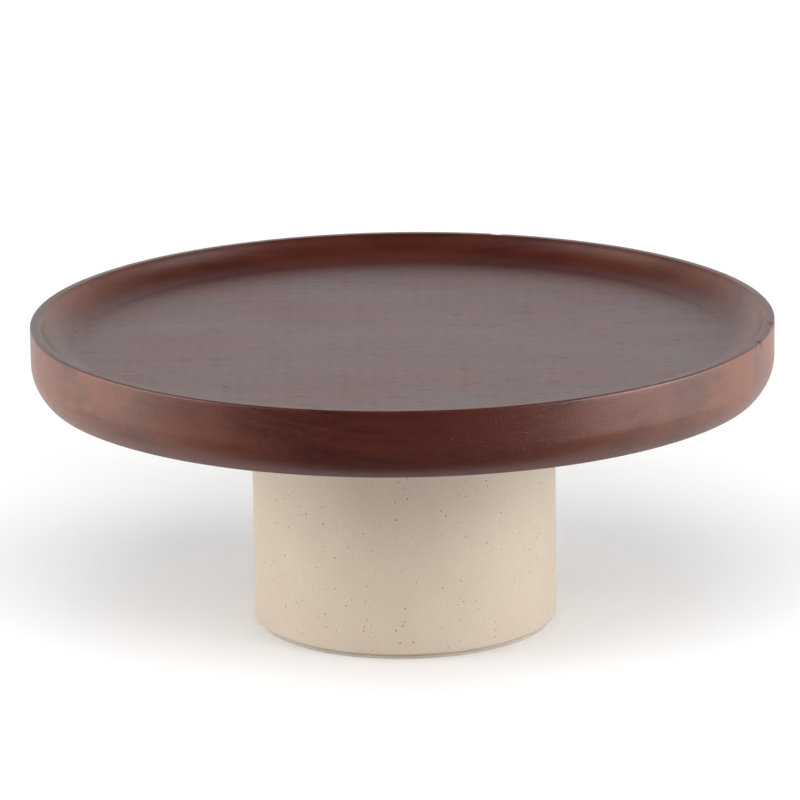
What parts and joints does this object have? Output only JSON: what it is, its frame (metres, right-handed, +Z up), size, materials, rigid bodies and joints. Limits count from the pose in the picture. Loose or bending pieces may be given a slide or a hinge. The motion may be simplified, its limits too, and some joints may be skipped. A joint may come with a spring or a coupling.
{
  "type": "cake stand",
  "caption": "Round wooden cake plate with a shallow cove-edged well, twisted on to a plain hollow cylindrical stoneware pedestal.",
  "frame": {"origin": "on the table plane, under the axis of the pedestal and the plate", "axes": "+Z up along the stand's axis, +X along the grain of the plate, -Y towards the front"},
  "size_m": [0.304, 0.304, 0.128],
  "materials": {
    "plate_wood": "satin",
    "stoneware": "matte",
    "foot_pad": "matte",
    "clear_silicone": "satin",
    "black_rubber": "matte",
    "plated_steel": "satin",
    "insert_brass": "satin"
  },
  "bodies": {
    "base": {"pedestal": "stoneware", "foot_ring": "foot_pad", "cushion_ring": "clear_silicone", "stud_bolt": "plated_steel", "jam_nut": "plated_steel", "steel_washer_upper": "plated_steel", "steel_washer_lower": "plated_steel", "rubber_washer_upper": "black_rubber", "rubber_washer_lower": "black_rubber"},
    "plate": {"plate_board_1": "plate_wood", "plate_board_2": "plate_wood", "plate_board_3": "plate_wood", "plate_board_4": "plate_wood", "plate_board_5": "plate_wood", "threaded_insert": "insert_brass"}
  },
  "joints": [
    {"name": "plate_lift", "type": "slide", "parent": "base", "child": "plate", "axis": [0, 0, 1], "range_m": [0, 0.06]}
  ]
}
